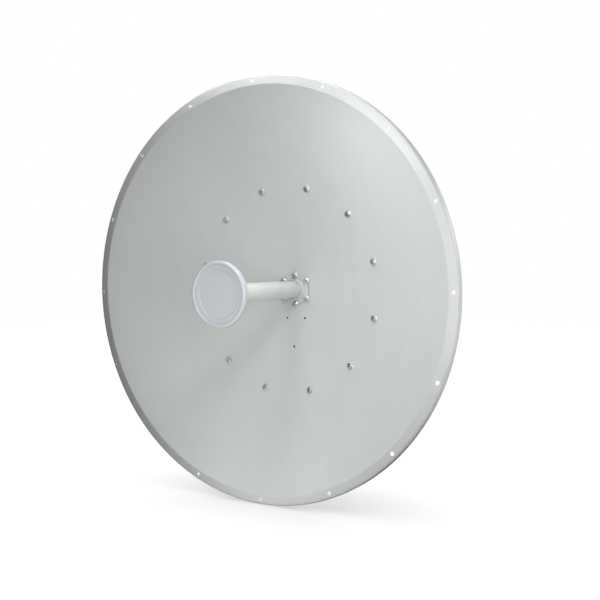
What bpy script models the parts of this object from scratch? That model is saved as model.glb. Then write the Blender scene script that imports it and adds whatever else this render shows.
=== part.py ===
"""Dish antenna, 1.05 m across: pressed reflector, centre feed, back frame and pole clamp.

Metres, +Z up. The dish looks along -Y with +X on the right of someone facing it.
The origin is on the rear face of the pole bracket, level with the dish's axis.
"""

import math

import bmesh
import bpy
from mathutils import Matrix

GAP = 0.0003

# Reflector: a paraboloid with a flat rim and a lip turned back
FOCAL_LENGTH = 0.3484
BOWL_RADIUS = 0.5005
BOWL_DEPTH = 0.180
RIM_RADIUS = 0.525
RIM_BEND = 0.004
LIP_DEPTH = 0.018
SHEET = 0.002
BORE_RADIUS = 0.0245
BOWL_STATIONS = 9
DISH_STEPS = 72
VERTEX_TO_ORIGIN = 0.100

RIM_HOLES = 16
RIM_HOLE_CIRCLE = 0.512
RIM_HOLE_RADIUS = 0.005
FRAME_BOLTS = 12
FRAME_BOLT_CIRCLE = 0.264
FRAME_BOLT_HOLE = 0.0044
SMALL_HOLES = ((-0.0275, -0.075), (0.0275, -0.075), (0.0, -0.149))
SMALL_HOLE_RADIUS = 0.0032

# Feed: a tube on a flange, with a plastic cap over the sub-reflector near the focus
TUBE_RADIUS = 0.0225
FLANGE_BACK = 0.0025
FLANGE_THICKNESS = 0.004
FLANGE_HALF_WIDTH = 0.042
FLANGE_HALF_HEIGHT = 0.034
FLANGE_CORNER = 0.010
FLANGE_LOBE = 0.012
COLLAR_FOOT_RADIUS = 0.031
COLLAR_TOP_RADIUS = 0.0265
COLLAR_HEIGHT = 0.014
CAP_FRONT = 0.338
CAP_DEPTH = 0.017
CAP_RADIUS = 0.0777
CAP_ROUNDING = 0.003
CAP_LIP_INNER = 0.070
CAP_STEP_RADIUS = 0.058
CAP_STEP = 0.0025
CONE_LENGTH = 0.044
CONE_RADIUS = 0.046

# Feed parts behind the reflector
BACKING_RADIUS = 0.055
BACKING_THICKNESS = 0.004
HOUSING_RADIUS = 0.031
HOUSING_LENGTH = 0.043
CONNECTOR_SPACING = 0.032
CONNECTOR_RADIUS = 0.0065
CONNECTOR_LENGTH = 0.018

# Radio bracket: a tray whose edges stand on the back of the bowl
RADIO_HALF_WIDTH = 0.034
RADIO_LENGTH = 0.105
RADIO_DEPTH = 0.0125
RADIO_SHEET = 0.0025
RADIO_CENTRE_Z = -0.1125

# Back ring: outer flange on the bowl, deep wall, flat inner flange
RING_OUTER = 0.282
RING_WALL = 0.2505
RING_INNER = 0.208
RING_SHEET = 0.0025
RING_BEHIND_VERTEX = 0.014
RING_NUT_RADIUS = 0.0075
RING_NUT_HEIGHT = 0.0065
RING_NUT_BORE = 0.0034
RING_NUT_SUNK = 0.0005

# Rails and crossbars: channels that open forwards
RAIL_X = 0.090
RAIL_WIDTH = 0.040
RAIL_DEPTH = 0.025
RAIL_HALF_LENGTH = 0.228
CHANNEL_SHEET = 0.003
BAR_Z = 0.140
BAR_WIDTH = 0.036
BAR_DEPTH = 0.020
BAR_HALF_LENGTH = 0.108

# Wings on the rails, cheeks on the pole bracket, and their pivot
WING_INNER_X = 0.0785
WING_THICKNESS = 0.004
WING_HALF_HEIGHT = 0.115
WING_FOOT_OUTER_X = 0.1095
WING_REAR_Y = -0.006
CHEEK_INNER_X = 0.0725
CHEEK_THICKNESS = 0.005
CHEEK_HALF_HEIGHT = 0.105
CHEEK_FRONT_Y = -0.052
PLATE_ROUNDING = 0.014
PIVOT_Y = -0.030
PIVOT_Z = 0.080
PIVOT_HOLE = 0.0062
SLOT_RADIUS = 0.160
SLOT_HALF_ANGLE = math.radians(4.5)
SLOT_HALF_WIDTH = 0.0053

# Pole bracket, jaws and rods, set for a mast of about 76 mm
WEB_HALF_WIDTH = 0.0722
WEB_HALF_HEIGHT = 0.110
WEB_THICKNESS = 0.006
TONGUE_HALF_WIDTH = 0.022
TONGUE_LOW_Z = -0.160
HORN_DEPTH = 0.058
HORN_THICKNESS = 0.006
HORN_INSET = 0.003
NOTCH_APEX_Y = 0.008
MAST_RADIUS = 0.038
JAW_Z = 0.075
JAW_HEIGHT = 0.040
JAW_THICKNESS = 0.006
JAW_NOTCH_HALF_WIDTH = 0.042
JAW_EAR_X = 0.080
ROD_X = 0.060
ROD_RADIUS = 0.005
ROD_HOLE = 0.0057
ROD_FRONT_Y = -0.028
ROD_REAR_Y = 0.104
ELEVATION_ROD_FRONT_Y = -0.084
ELEVATION_ROD_REAR_Y = 0.016

VERTEX_Y = -VERTEX_TO_ORIGIN
FRAME_Y = VERTEX_Y + RING_BEHIND_VERTEX
RAIL_FRONT_Y = FRAME_Y + GAP
RAIL_REAR_Y = RAIL_FRONT_Y + RAIL_DEPTH
BAR_FRONT_Y = RAIL_REAR_Y + GAP
MAST_Y = NOTCH_APEX_Y + MAST_RADIUS * math.sqrt(2)
JAW_APEX_Y = MAST_Y + MAST_RADIUS * math.sqrt(2)

# A flat outline drawn in its own x and y, turned so that it stands across Y or across X
ACROSS_Y = (math.pi / 2, 0, 0)
ACROSS_X = Matrix(((0, 0, 1), (1, 0, 0), (0, 1, 0))).to_euler()


def clear_scene():
    for obj in list(bpy.data.objects):
        bpy.data.objects.remove(obj, do_unlink=True)


def collection(name):
    made = bpy.data.collections.new(name)
    bpy.context.scene.collection.children.link(made)
    return made


def material(name, colour, roughness, metallic):
    made = bpy.data.materials.new(name)
    made.use_nodes = True
    shader = made.node_tree.nodes["Principled BSDF"]
    shader.inputs["Base Color"].default_value = (*colour, 1)
    shader.inputs["Roughness"].default_value = roughness
    shader.inputs["Metallic"].default_value = metallic
    return made


def powder_coat():
    return material("powder_coat", (0.70, 0.72, 0.70), 0.45, 0.0)


def cap_plastic():
    return material("cap_plastic", (0.66, 0.70, 0.72), 0.40, 0.0)


def feed_enamel():
    return material("feed_enamel", (0.72, 0.75, 0.73), 0.32, 0.0)


def galvanised():
    return material("galvanised", (0.56, 0.58, 0.60), 0.42, 0.9)


def zinc():
    return material("zinc", (0.66, 0.66, 0.66), 0.30, 1.0)


def nickel():
    return material("nickel", (0.72, 0.70, 0.66), 0.25, 1.0)


def dark_cast():
    return material("dark_cast", (0.30, 0.31, 0.32), 0.55, 0.3)


def part(name, data, finish, location=(0, 0, 0), rotation=(0, 0, 0), parent=None):
    obj = bpy.data.objects.new(name, data)
    obj.location = location
    obj.rotation_euler = rotation
    obj.parent = parent
    if data is not None:
        data.materials.clear()
        data.materials.append(finish)
    PARTS.objects.link(obj)
    return obj


def helper(name, data, location=(0, 0, 0), rotation=(0, 0, 0), parent=None):
    obj = bpy.data.objects.new(name, data)
    obj.location = location
    obj.rotation_euler = rotation
    obj.parent = parent
    obj.hide_render = True
    obj.display_type = "WIRE"
    HELPERS.objects.link(obj)
    return obj


def combine(obj, other, operation):
    modifier = obj.modifiers.new(operation.lower(), "BOOLEAN")
    modifier.operation = operation
    modifier.object = other
    modifier.use_self = operation == "UNION"


def smooth(mesh):
    mesh.shade_smooth()
    mesh.set_sharp_from_angle(angle=math.radians(30))


def arc(centre, radius, start, end, count):
    """count + 1 points on an arc, angles in degrees, counted from the first axis."""
    angles = [math.radians(start + (end - start) * i / count) for i in range(count + 1)]
    return [(centre[0] + radius * math.cos(a), centre[1] + radius * math.sin(a)) for a in angles]


def circle(centre, radius, sides):
    half = 180 / sides
    return arc(centre, radius, half, 360 - half, sides - 1)


def rounded_rectangle(low, high, radius, count=3):
    (x0, y0), (x1, y1) = low, high
    return (
        arc((x1 - radius, y1 - radius), radius, 0, 90, count)
        + arc((x0 + radius, y1 - radius), radius, 90, 180, count)
        + arc((x0 + radius, y0 + radius), radius, 180, 270, count)
        + arc((x1 - radius, y0 + radius), radius, 270, 360, count)
    )


def sheet_curve(name, outlines, thickness):
    """A flat outline, with any holes after it, as a filled 2D curve of this thickness."""
    curve = bpy.data.curves.new(name, "CURVE")
    curve.dimensions = "2D"
    curve.fill_mode = "BOTH"
    curve.extrude = thickness / 2
    for outline in outlines:
        spline = curve.splines.new("POLY")
        spline.points.add(len(outline) - 1)
        for point, (x, y) in zip(spline.points, outline):
            point.co = (x, y, 0, 1)
        spline.use_cyclic_u = True
    return curve


def sheet_mesh(name, outlines, thickness):
    """The same as a mesh with its caps welded, for a piece that is cut or joined."""
    holder = helper(name + "_outline", sheet_curve(name, outlines, thickness))
    bpy.context.view_layer.update()
    graph = bpy.context.evaluated_depsgraph_get()
    mesh = bpy.data.meshes.new_from_object(holder.evaluated_get(graph))
    bpy.data.objects.remove(holder, do_unlink=True)
    shape = bmesh.new()
    shape.from_mesh(mesh)
    bmesh.ops.remove_doubles(shape, verts=shape.verts, dist=1e-6)
    shape.to_mesh(mesh)
    shape.free()
    return mesh


def cylinders(name, radius, depth, sides, places):
    """One mesh of equal cylinders, each centred and turned by its own matrix.

    Half a side of twist keeps their corners off the facet edges of what they cut.
    """
    twist = Matrix.Rotation(math.pi / sides, 4, "Z")
    shape = bmesh.new()
    for place in places:
        bmesh.ops.create_cone(
            shape,
            cap_ends=True,
            segments=sides,
            radius1=radius,
            radius2=radius,
            depth=depth,
            matrix=place @ twist,
        )
    mesh = bpy.data.meshes.new(name)
    shape.to_mesh(mesh)
    shape.free()
    smooth(mesh)
    return mesh


def turned(name, profile, steps, finish, closed, parent):
    """A profile of (radius, height) turned round the parent's own Z axis."""
    count = len(profile)
    edges = [(i, i + 1) for i in range(count - 1)]
    if closed:
        edges.append((count - 1, 0))
    mesh = bpy.data.meshes.new(name)
    mesh.from_pydata([(radius, 0, height) for radius, height in profile], edges, [])
    obj = part(name, mesh, finish, parent=parent)
    screw = obj.modifiers.new("turn", "SCREW")
    screw.steps = steps
    screw.render_steps = steps
    screw.use_smooth_shade = True
    screw.use_merge_vertices = True
    screw.merge_threshold = 0.00005
    return obj


def bowl_height(radius):
    return radius * radius / (4 * FOCAL_LENGTH)


def bowl_tilt(radius):
    return math.atan(radius / (2 * FOCAL_LENGTH))


def bowl_back(radius):
    """The point on the bowl's back that lies straight behind its front at this radius."""
    tilt = bowl_tilt(radius)
    return (radius + SHEET * math.sin(tilt), bowl_height(radius) - SHEET * math.cos(tilt))


def reflector_profile():
    bend = (RIM_RADIUS - RIM_BEND, BOWL_DEPTH - RIM_BEND)
    lip_end = BOWL_DEPTH - LIP_DEPTH
    fold = BOWL_RADIUS + SHEET
    span = BOWL_RADIUS - BORE_RADIUS
    radii = [BORE_RADIUS + span * i / BOWL_STATIONS for i in range(BOWL_STATIONS + 1)]
    inner_bend = RIM_BEND - SHEET
    outside = arc(bend, RIM_BEND, 90, 0, 3) + [(RIM_RADIUS, lip_end)]
    inside = [(RIM_RADIUS - SHEET, lip_end)] + arc(bend, inner_bend, 0, 90, 2)
    back = [(fold + SHEET / 2, BOWL_DEPTH - SHEET)]
    back += [bowl_back(radius) for radius in reversed(radii)]
    front = [(radius, bowl_height(radius)) for radius in radii]
    front.append((fold, BOWL_DEPTH))
    return outside + inside + back + front


def around(count, radius, start, height, tilt):
    """Matrices of holes on a circle, each leaning towards the axis by the tilt."""
    places = []
    for i in range(count):
        turn = Matrix.Rotation(start + 2 * math.pi * i / count, 4, "Z")
        lean = Matrix.Rotation(-tilt, 4, "Y")
        places.append(turn @ Matrix.Translation((radius, 0, height)) @ lean)
    return places


def frame_bolt_places():
    height = bowl_height(FRAME_BOLT_CIRCLE)
    start = math.pi / FRAME_BOLTS
    tilt = bowl_tilt(FRAME_BOLT_CIRCLE)
    return around(FRAME_BOLTS, FRAME_BOLT_CIRCLE, start, height, tilt)


def reflector(vertex, finish):
    obj = turned("reflector", reflector_profile(), DISH_STEPS, finish, True, vertex)
    rim = around(RIM_HOLES, RIM_HOLE_CIRCLE, 0, BOWL_DEPTH, 0)
    small = [Matrix.Translation((x, y, bowl_height(math.hypot(x, y)))) for x, y in SMALL_HOLES]
    cuts = (
        ("rim_hole_cutter", RIM_HOLE_RADIUS, rim),
        ("frame_bolt_cutter", FRAME_BOLT_HOLE, frame_bolt_places()),
        ("small_hole_cutter", SMALL_HOLE_RADIUS, small),
    )
    for name, radius, places in cuts:
        mesh = cylinders(name, radius, 0.016, 12, places)
        combine(obj, helper(name, mesh, parent=vertex), "DIFFERENCE")


def feed_flange(vertex, finish):
    half_width, half_height = FLANGE_HALF_WIDTH, FLANGE_HALF_HEIGHT
    x, y = half_width - FLANGE_CORNER, half_height - FLANGE_CORNER
    right = arc((x, -y), FLANGE_CORNER, -90, 0, 3) + arc((x, y), FLANGE_CORNER, 0, 90, 3)
    top = arc((0, half_height), FLANGE_LOBE, 0, 180, 6)
    half = right + top
    outline = half + [(-px, -py) for px, py in half]
    bore = circle((0, 0), TUBE_RADIUS + 2 * GAP, 24)
    curve = sheet_curve("feed_flange", [outline, bore], FLANGE_THICKNESS)
    middle = FLANGE_BACK + FLANGE_THICKNESS / 2
    part("feed_flange", curve, finish, location=(0, 0, middle), parent=vertex)


def feed_collar(vertex, finish):
    foot = FLANGE_BACK + FLANGE_THICKNESS + GAP
    top = foot + COLLAR_HEIGHT
    bore = TUBE_RADIUS + 2 * GAP
    rounding = 0.002
    profile = arc((COLLAR_TOP_RADIUS - rounding, top - rounding), rounding, 90, 0, 3)
    profile += [(COLLAR_FOOT_RADIUS, foot + 0.005), (COLLAR_FOOT_RADIUS, foot)]
    profile += [(bore, foot), (bore, top)]
    turned("feed_collar", profile, 32, finish, True, vertex)


def feed_tube(vertex, finish):
    low = -SHEET - GAP - BACKING_THICKNESS
    high = CAP_FRONT - CAP_DEPTH - GAP - CONE_LENGTH - GAP
    profile = [(0, high), (TUBE_RADIUS, high), (TUBE_RADIUS, low), (0, low)]
    turned("feed_tube", profile, 32, finish, False, vertex)


def feed_cone(vertex, finish):
    high = CAP_FRONT - CAP_DEPTH - GAP
    low = high - CONE_LENGTH
    waist = TUBE_RADIUS + 0.0015
    profile = [(0, high), (CONE_RADIUS, high), (CONE_RADIUS, high - 0.004)]
    profile += [(waist, low + 0.008), (waist, low), (0, low)]
    turned("feed_cone", profile, 32, finish, False, vertex)


def feed_cap(vertex, finish):
    high, low = CAP_FRONT, CAP_FRONT - CAP_DEPTH
    edge = CAP_RADIUS - CAP_ROUNDING
    face = [
        (0, high - 2 * CAP_STEP),
        (CAP_STEP_RADIUS - 0.001, high - 2 * CAP_STEP),
        (CAP_STEP_RADIUS, high - CAP_STEP),
        (CAP_LIP_INNER, high - CAP_STEP),
        (CAP_LIP_INNER + 0.0015, high),
    ]
    front_edge = arc((edge, high - CAP_ROUNDING), CAP_ROUNDING, 90, 0, 3)
    rear_edge = arc((edge, low + CAP_ROUNDING), CAP_ROUNDING, 0, -90, 2)
    turned("feed_cap", face + front_edge + rear_edge + [(0, low)], 48, finish, False, vertex)


def feed_rear(vertex, plate_finish, housing_finish, connector_finish):
    """Backing plate, housing and two coaxial connectors behind the reflector."""
    plate_front = -SHEET - GAP
    plate_back = plate_front - BACKING_THICKNESS
    bore = BORE_RADIUS
    plate = [(BACKING_RADIUS, plate_front), (BACKING_RADIUS, plate_back)]
    plate += [(bore, plate_back), (bore, plate_front)]
    turned("feed_backing_plate", plate, 32, plate_finish, True, vertex)

    front = plate_back - GAP
    back = front - HOUSING_LENGTH
    chamfer = 0.003
    profile = [(0, front), (HOUSING_RADIUS, front), (HOUSING_RADIUS, back + chamfer)]
    profile += [(HOUSING_RADIUS - chamfer, back), (0, back)]
    turned("feed_housing", profile, 32, housing_finish, False, vertex)

    nut = 0.006
    top = back - GAP
    end = top - CONNECTOR_LENGTH
    outline = [(0, top), (CONNECTOR_RADIUS, top), (CONNECTOR_RADIUS, top - nut)]
    outline += [(CONNECTOR_RADIUS - 0.002, top - nut), (CONNECTOR_RADIUS - 0.002, end), (0, end)]
    for side, sign in (("left", -1), ("right", 1)):
        obj = turned(f"rf_connector_{side}", outline, 16, connector_finish, False, vertex)
        obj.location = (sign * CONNECTOR_SPACING / 2, 0, 0)


def radio_bracket(vertex, finish):
    outer, inner = RADIO_HALF_WIDTH, RADIO_HALF_WIDTH - RADIO_SHEET
    floor = RADIO_DEPTH - RADIO_SHEET
    outline = [(-outer, 0), (-inner, 0), (-inner, floor), (inner, floor), (inner, 0)]
    outline += [(outer, 0), (outer, RADIO_DEPTH), (-outer, RADIO_DEPTH)]
    curve = sheet_curve("radio_bracket", [outline], RADIO_LENGTH)
    radius = abs(RADIO_CENTRE_Z)
    tilt = bowl_tilt(radius)
    stand = (SHEET + GAP) / math.cos(tilt)
    obj = part("radio_bracket", curve, finish, location=(0, RADIO_CENTRE_Z, bowl_height(radius) - stand))
    obj.rotation_euler = (-math.pi / 2 - tilt, 0, 0)
    obj.parent = vertex


def back_ring(vertex, finish):
    """The pressed ring, with a weld nut behind its flange for each frame bolt."""
    tilt = bowl_tilt(FRAME_BOLT_CIRCLE)
    slope = math.tan(tilt)
    stand = (SHEET + GAP) / math.cos(tilt)
    middle = bowl_height(FRAME_BOLT_CIRCLE) - stand
    thick = RING_SHEET / math.cos(tilt)

    def front(radius):
        return middle + slope * (radius - FRAME_BOLT_CIRCLE)

    wall_inside = RING_WALL - RING_SHEET
    rear = -RING_BEHIND_VERTEX
    profile = [
        (RING_OUTER, front(RING_OUTER)),
        (RING_OUTER, front(RING_OUTER) - thick),
        (RING_WALL, front(RING_WALL) - thick),
        (RING_WALL, rear),
        (RING_INNER, rear),
        (RING_INNER, rear + RING_SHEET),
        (wall_inside, rear + RING_SHEET),
        (wall_inside, front(wall_inside)),
    ]
    obj = turned("back_ring", profile, DISH_STEPS, finish, True, vertex)
    behind = SHEET + GAP + RING_SHEET - RING_NUT_SUNK + RING_NUT_HEIGHT / 2
    places = frame_bolt_places()
    stands = [place @ Matrix.Translation((0, 0, -behind)) for place in places]
    nuts = cylinders("ring_nuts", RING_NUT_RADIUS, RING_NUT_HEIGHT, 6, stands)
    combine(obj, helper("ring_nuts", nuts, parent=vertex), "UNION")
    bores = cylinders("ring_nut_cutter", RING_NUT_BORE, 0.030, 8, places)
    combine(obj, helper("ring_nut_cutter", bores, parent=vertex), "DIFFERENCE")


def channel(width, depth, sheet):
    """A channel's section: the web lies at the far side in y, the open side at y = 0."""
    half = width / 2
    return [
        (-half, 0),
        (-half + sheet, 0),
        (-half + sheet, depth - sheet),
        (half - sheet, depth - sheet),
        (half - sheet, 0),
        (half, 0),
        (half, depth),
        (-half, depth),
    ]


def rails(finish):
    section = channel(RAIL_WIDTH, RAIL_DEPTH, CHANNEL_SHEET)
    for side, sign in (("left", -1), ("right", 1)):
        curve = sheet_curve(f"{side}_rail", [section], 2 * RAIL_HALF_LENGTH)
        part(f"{side}_rail", curve, finish, location=(sign * RAIL_X, RAIL_FRONT_Y, 0))


def crossbars(finish):
    section = [(y, x) for x, y in channel(BAR_WIDTH, BAR_DEPTH, CHANNEL_SHEET)]
    places = [Matrix.Translation((0, 0, 0)) @ Matrix.Rotation(math.pi / 2, 4, "X")]
    for side, sign in (("upper", 1), ("lower", -1)):
        mesh = sheet_mesh(f"{side}_crossbar", [section], 2 * BAR_HALF_LENGTH)
        where = (0, BAR_FRONT_Y, sign * BAR_Z)
        obj = part(f"{side}_crossbar", mesh, finish, where, ACROSS_X)
        if sign < 0:
            hole = cylinders("crossbar_hole_cutter", ROD_HOLE, 0.1, 12, places)
            combine(obj, helper("crossbar_hole_cutter", hole, location=where), "DIFFERENCE")


def slot_outline():
    """The curved elevation slot, drawn in y and z round the pivot."""
    centre = (PIVOT_Y, PIVOT_Z)
    half = math.degrees(SLOT_HALF_ANGLE)
    outer = arc(centre, SLOT_RADIUS + SLOT_HALF_WIDTH, -90 - half, -90 + half, 4)
    inner = arc(centre, SLOT_RADIUS - SLOT_HALF_WIDTH, -90 + half, -90 - half, 4)

    def end(angle, start):
        a = math.radians(angle)
        middle = (PIVOT_Y + SLOT_RADIUS * math.cos(a), PIVOT_Z + SLOT_RADIUS * math.sin(a))
        return arc(middle, SLOT_HALF_WIDTH, start, start + 180, 4)[1:-1]

    return outer + end(-90 + half, -90 + half) + inner + end(-90 - half, 90 - half)


def wings(finish):
    """Angle plates on the rails: a foot on the rail and an upright beside the cheek."""
    front = RAIL_REAR_Y + GAP
    middle_x = WING_INNER_X + WING_THICKNESS / 2
    low = (front, -WING_HALF_HEIGHT)
    high = (WING_REAR_Y, WING_HALF_HEIGHT)
    plate = rounded_rectangle(low, high, PLATE_ROUNDING)
    flat_front = [(front, -WING_HALF_HEIGHT), (front, WING_HALF_HEIGHT)]
    plate = plate[:4] + [flat_front[1], flat_front[0]] + plate[12:]
    holes = [circle((PIVOT_Y, PIVOT_Z), PIVOT_HOLE, 12), slot_outline()]
    foot_width = WING_FOOT_OUTER_X - WING_INNER_X - WING_THICKNESS / 2
    foot_middle_x = WING_FOOT_OUTER_X - foot_width / 2
    foot = rounded_rectangle(
        (-foot_width / 2, -WING_HALF_HEIGHT), (foot_width / 2, WING_HALF_HEIGHT), 0.006
    )
    for side, sign in (("left", -1), ("right", 1)):
        mesh = sheet_mesh(f"{side}_wing", [plate] + holes, WING_THICKNESS)
        obj = part(f"{side}_wing", mesh, finish, (sign * middle_x, 0, 0), ACROSS_X)
        foot_mesh = sheet_mesh(f"{side}_wing_foot", [foot], WING_THICKNESS)
        where = (sign * foot_middle_x, front + WING_THICKNESS / 2, 0)
        combine(obj, helper(f"{side}_wing_foot", foot_mesh, where, ACROSS_Y), "UNION")


def cheeks(finish):
    """Side plates welded to the pole bracket, round at the front."""
    high = (0, CHEEK_HALF_HEIGHT)
    plate = rounded_rectangle((CHEEK_FRONT_Y, -CHEEK_HALF_HEIGHT), high, PLATE_ROUNDING)
    plate = [(0, CHEEK_HALF_HEIGHT)] + plate[4:12] + [(0, -CHEEK_HALF_HEIGHT)]
    lock = (PIVOT_Y, PIVOT_Z - SLOT_RADIUS)
    holes = [circle((PIVOT_Y, PIVOT_Z), PIVOT_HOLE, 12), circle(lock, SLOT_HALF_WIDTH, 12)]
    middle_x = CHEEK_INNER_X + CHEEK_THICKNESS / 2
    for side, sign in (("left", -1), ("right", 1)):
        curve = sheet_curve(f"{side}_cheek", [plate] + holes, CHEEK_THICKNESS)
        part(f"{side}_cheek", curve, finish, (sign * middle_x, 0, 0), ACROSS_X)


def pole_bracket(finish):
    """Flat web with a tongue below, and two horns notched for the mast."""
    w, h = WEB_HALF_WIDTH, WEB_HALF_HEIGHT
    tongue = [(TONGUE_HALF_WIDTH, -h), (w, -h), (w, h), (-w, h), (-w, -h), (-TONGUE_HALF_WIDTH, -h)]
    end = (0, TONGUE_LOW_Z + TONGUE_HALF_WIDTH)
    web = tongue + arc(end, TONGUE_HALF_WIDTH, 180, 360, 6)
    holes = [circle((x, z), ROD_HOLE, 12) for x in (-ROD_X, ROD_X) for z in (-JAW_Z, JAW_Z)]
    holes.append(circle((0, -BAR_Z), ROD_HOLE, 12))
    mesh = sheet_mesh("pole_bracket", [web] + holes, WEB_THICKNESS)
    obj = part("pole_bracket", mesh, finish, (0, -WEB_THICKNESS / 2, 0), ACROSS_Y)

    reach = HORN_DEPTH - NOTCH_APEX_Y
    edge, root = w - HORN_INSET, -WEB_THICKNESS / 2
    horn = [(-edge, root), (edge, root), (edge, HORN_DEPTH), (reach, HORN_DEPTH)]
    horn += [(0, NOTCH_APEX_Y), (-reach, HORN_DEPTH), (-edge, HORN_DEPTH)]
    for side, sign in (("upper", 1), ("lower", -1)):
        horn_mesh = sheet_mesh(f"{side}_horn", [horn], HORN_THICKNESS)
        where = (0, 0, sign * (WEB_HALF_HEIGHT - HORN_INSET - HORN_THICKNESS / 2))
        combine(obj, helper(f"{side}_horn", horn_mesh, where), "UNION")


def jaw_outline():
    """A strap bent to a V, seen from above, with a flat ear on each side."""
    notch = JAW_NOTCH_HALF_WIDTH
    ear_y = JAW_APEX_Y - notch
    shift = JAW_THICKNESS * math.tan(math.pi / 8)
    front = [(JAW_EAR_X, ear_y), (notch, ear_y), (0, JAW_APEX_Y), (-notch, ear_y), (-JAW_EAR_X, ear_y)]
    rear_y = ear_y + JAW_THICKNESS
    rear_apex = JAW_APEX_Y + JAW_THICKNESS * math.sqrt(2)
    rear = [(-JAW_EAR_X, rear_y), (-notch - shift, rear_y), (0, rear_apex)]
    rear += [(notch + shift, rear_y), (JAW_EAR_X, rear_y)]
    return front + rear


def jaws(finish):
    turn = Matrix.Rotation(math.pi / 2, 4, "X")
    places = [Matrix.Translation((x, JAW_APEX_Y - JAW_NOTCH_HALF_WIDTH, 0)) @ turn for x in (-ROD_X, ROD_X)]
    for side, sign in (("upper", 1), ("lower", -1)):
        where = (0, 0, sign * JAW_Z)
        mesh = sheet_mesh(f"{side}_jaw", [jaw_outline()], JAW_HEIGHT)
        obj = part(f"{side}_jaw", mesh, finish, where)
        hole = cylinders(f"{side}_jaw_cutter", ROD_HOLE, 0.04, 12, places)
        combine(obj, helper(f"{side}_jaw_cutter", hole, where), "DIFFERENCE")


def rod(name, x, z, front, rear, finish):
    mesh = cylinders(name, ROD_RADIUS, rear - front, 12, [Matrix()])
    part(name, mesh, finish, (x, (front + rear) / 2, z), ACROSS_Y)


def rods(finish):
    for level, z in (("upper", JAW_Z), ("lower", -JAW_Z)):
        for side, x in (("left", -ROD_X), ("right", ROD_X)):
            rod(f"{level}_{side}_rod", x, z, ROD_FRONT_Y, ROD_REAR_Y, finish)
    rod("elevation_rod", 0, -BAR_Z, ELEVATION_ROD_FRONT_Y, ELEVATION_ROD_REAR_Y, finish)


clear_scene()
PARTS = collection("dish_antenna")
HELPERS = collection("dish_antenna_helpers")

coat, enamel, plastic = powder_coat(), feed_enamel(), cap_plastic()
steel, bright, brass_nickel, cast = galvanised(), zinc(), nickel(), dark_cast()

axis = part("dish_axis", None, None, location=(0, VERTEX_Y, 0), rotation=ACROSS_Y)
reflector(axis, coat)
feed_flange(axis, enamel)
feed_collar(axis, enamel)
feed_tube(axis, enamel)
feed_cone(axis, plastic)
feed_cap(axis, plastic)
feed_rear(axis, steel, cast, brass_nickel)
radio_bracket(axis, steel)
back_ring(axis, coat)
rails(coat)
crossbars(coat)
wings(steel)
cheeks(steel)
pole_bracket(steel)
jaws(steel)
rods(bright)
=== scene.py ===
"""Looks of a 1.05 m dish antenna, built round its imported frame.

Metres, +Z up. The dish looks along -Y, and its axis runs through x = 0, z = 0.
"""

import math

import bmesh
import bpy
from mathutils import Matrix, Vector


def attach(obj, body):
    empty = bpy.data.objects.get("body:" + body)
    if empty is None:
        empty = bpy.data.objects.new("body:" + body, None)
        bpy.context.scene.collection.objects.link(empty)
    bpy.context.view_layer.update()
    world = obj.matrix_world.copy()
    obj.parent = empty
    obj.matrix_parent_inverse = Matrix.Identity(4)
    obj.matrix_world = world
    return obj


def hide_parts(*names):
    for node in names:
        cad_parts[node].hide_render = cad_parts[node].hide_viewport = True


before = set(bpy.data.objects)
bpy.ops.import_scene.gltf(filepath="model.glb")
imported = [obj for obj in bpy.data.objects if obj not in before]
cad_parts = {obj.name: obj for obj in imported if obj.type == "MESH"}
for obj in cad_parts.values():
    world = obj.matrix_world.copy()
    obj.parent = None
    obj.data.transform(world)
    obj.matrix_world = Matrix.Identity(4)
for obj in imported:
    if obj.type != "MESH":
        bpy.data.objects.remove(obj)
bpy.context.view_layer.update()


# Camera: a long normal lens, a little above the feed's axis and to the right of someone
# who faces the dish. It looks 32 degrees across that axis and leans by one degree.
CAMERA_PLACE = Vector((1.2304, -2.0229, 0.0685))
CAMERA_BACK = Vector((0.5352, -0.8436, 0.0423)).normalized()
CAMERA_LEAN = math.radians(-1.017)
CAMERA_LENS = 52.31
SENSOR_WIDTH = 36

camera = bpy.data.objects.new("camera", bpy.data.cameras.new("camera"))
bpy.context.scene.collection.objects.link(camera)
level = Vector((-CAMERA_BACK.y, CAMERA_BACK.x, 0)).normalized()
upright = CAMERA_BACK.cross(level)
across = level * math.cos(CAMERA_LEAN) + upright * math.sin(CAMERA_LEAN)
upwards = upright * math.cos(CAMERA_LEAN) - level * math.sin(CAMERA_LEAN)
camera.matrix_world = Matrix.Translation(CAMERA_PLACE) @ (
    Matrix((across, upwards, CAMERA_BACK)).transposed().to_4x4()
)
camera.data.sensor_width = SENSOR_WIDTH
camera.data.lens = CAMERA_LENS
camera.data.clip_start = 0.05
camera.data.clip_end = 60
bpy.context.scene.camera = camera


# Studio: softboxes close before the dish, the strongest of them above its rim, and two
# behind it. The floor glows white, with a painted shadow close under the dish, and the room
# looks white but hardly lights the dish.
FLOOR_Z = -0.525
ROOM_BRIGHTNESS = 0.02

world = bpy.data.worlds.new("white_room")
world.use_nodes = True
room = world.node_tree.nodes["Background"]
room.inputs["Color"].default_value = (1, 1, 1, 1)
seen = world.node_tree.nodes.new("ShaderNodeLightPath")
strength = world.node_tree.nodes.new("ShaderNodeMapRange")
strength.inputs["To Min"].default_value = ROOM_BRIGHTNESS
strength.inputs["To Max"].default_value = 1.0
world.node_tree.links.new(seen.outputs["Is Camera Ray"], strength.inputs["Value"])
world.node_tree.links.new(strength.outputs["Result"], room.inputs["Strength"])
bpy.context.scene.world = world
bpy.context.scene.view_settings.view_transform = "Standard"
bpy.context.scene.view_settings.look = "None"

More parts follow.
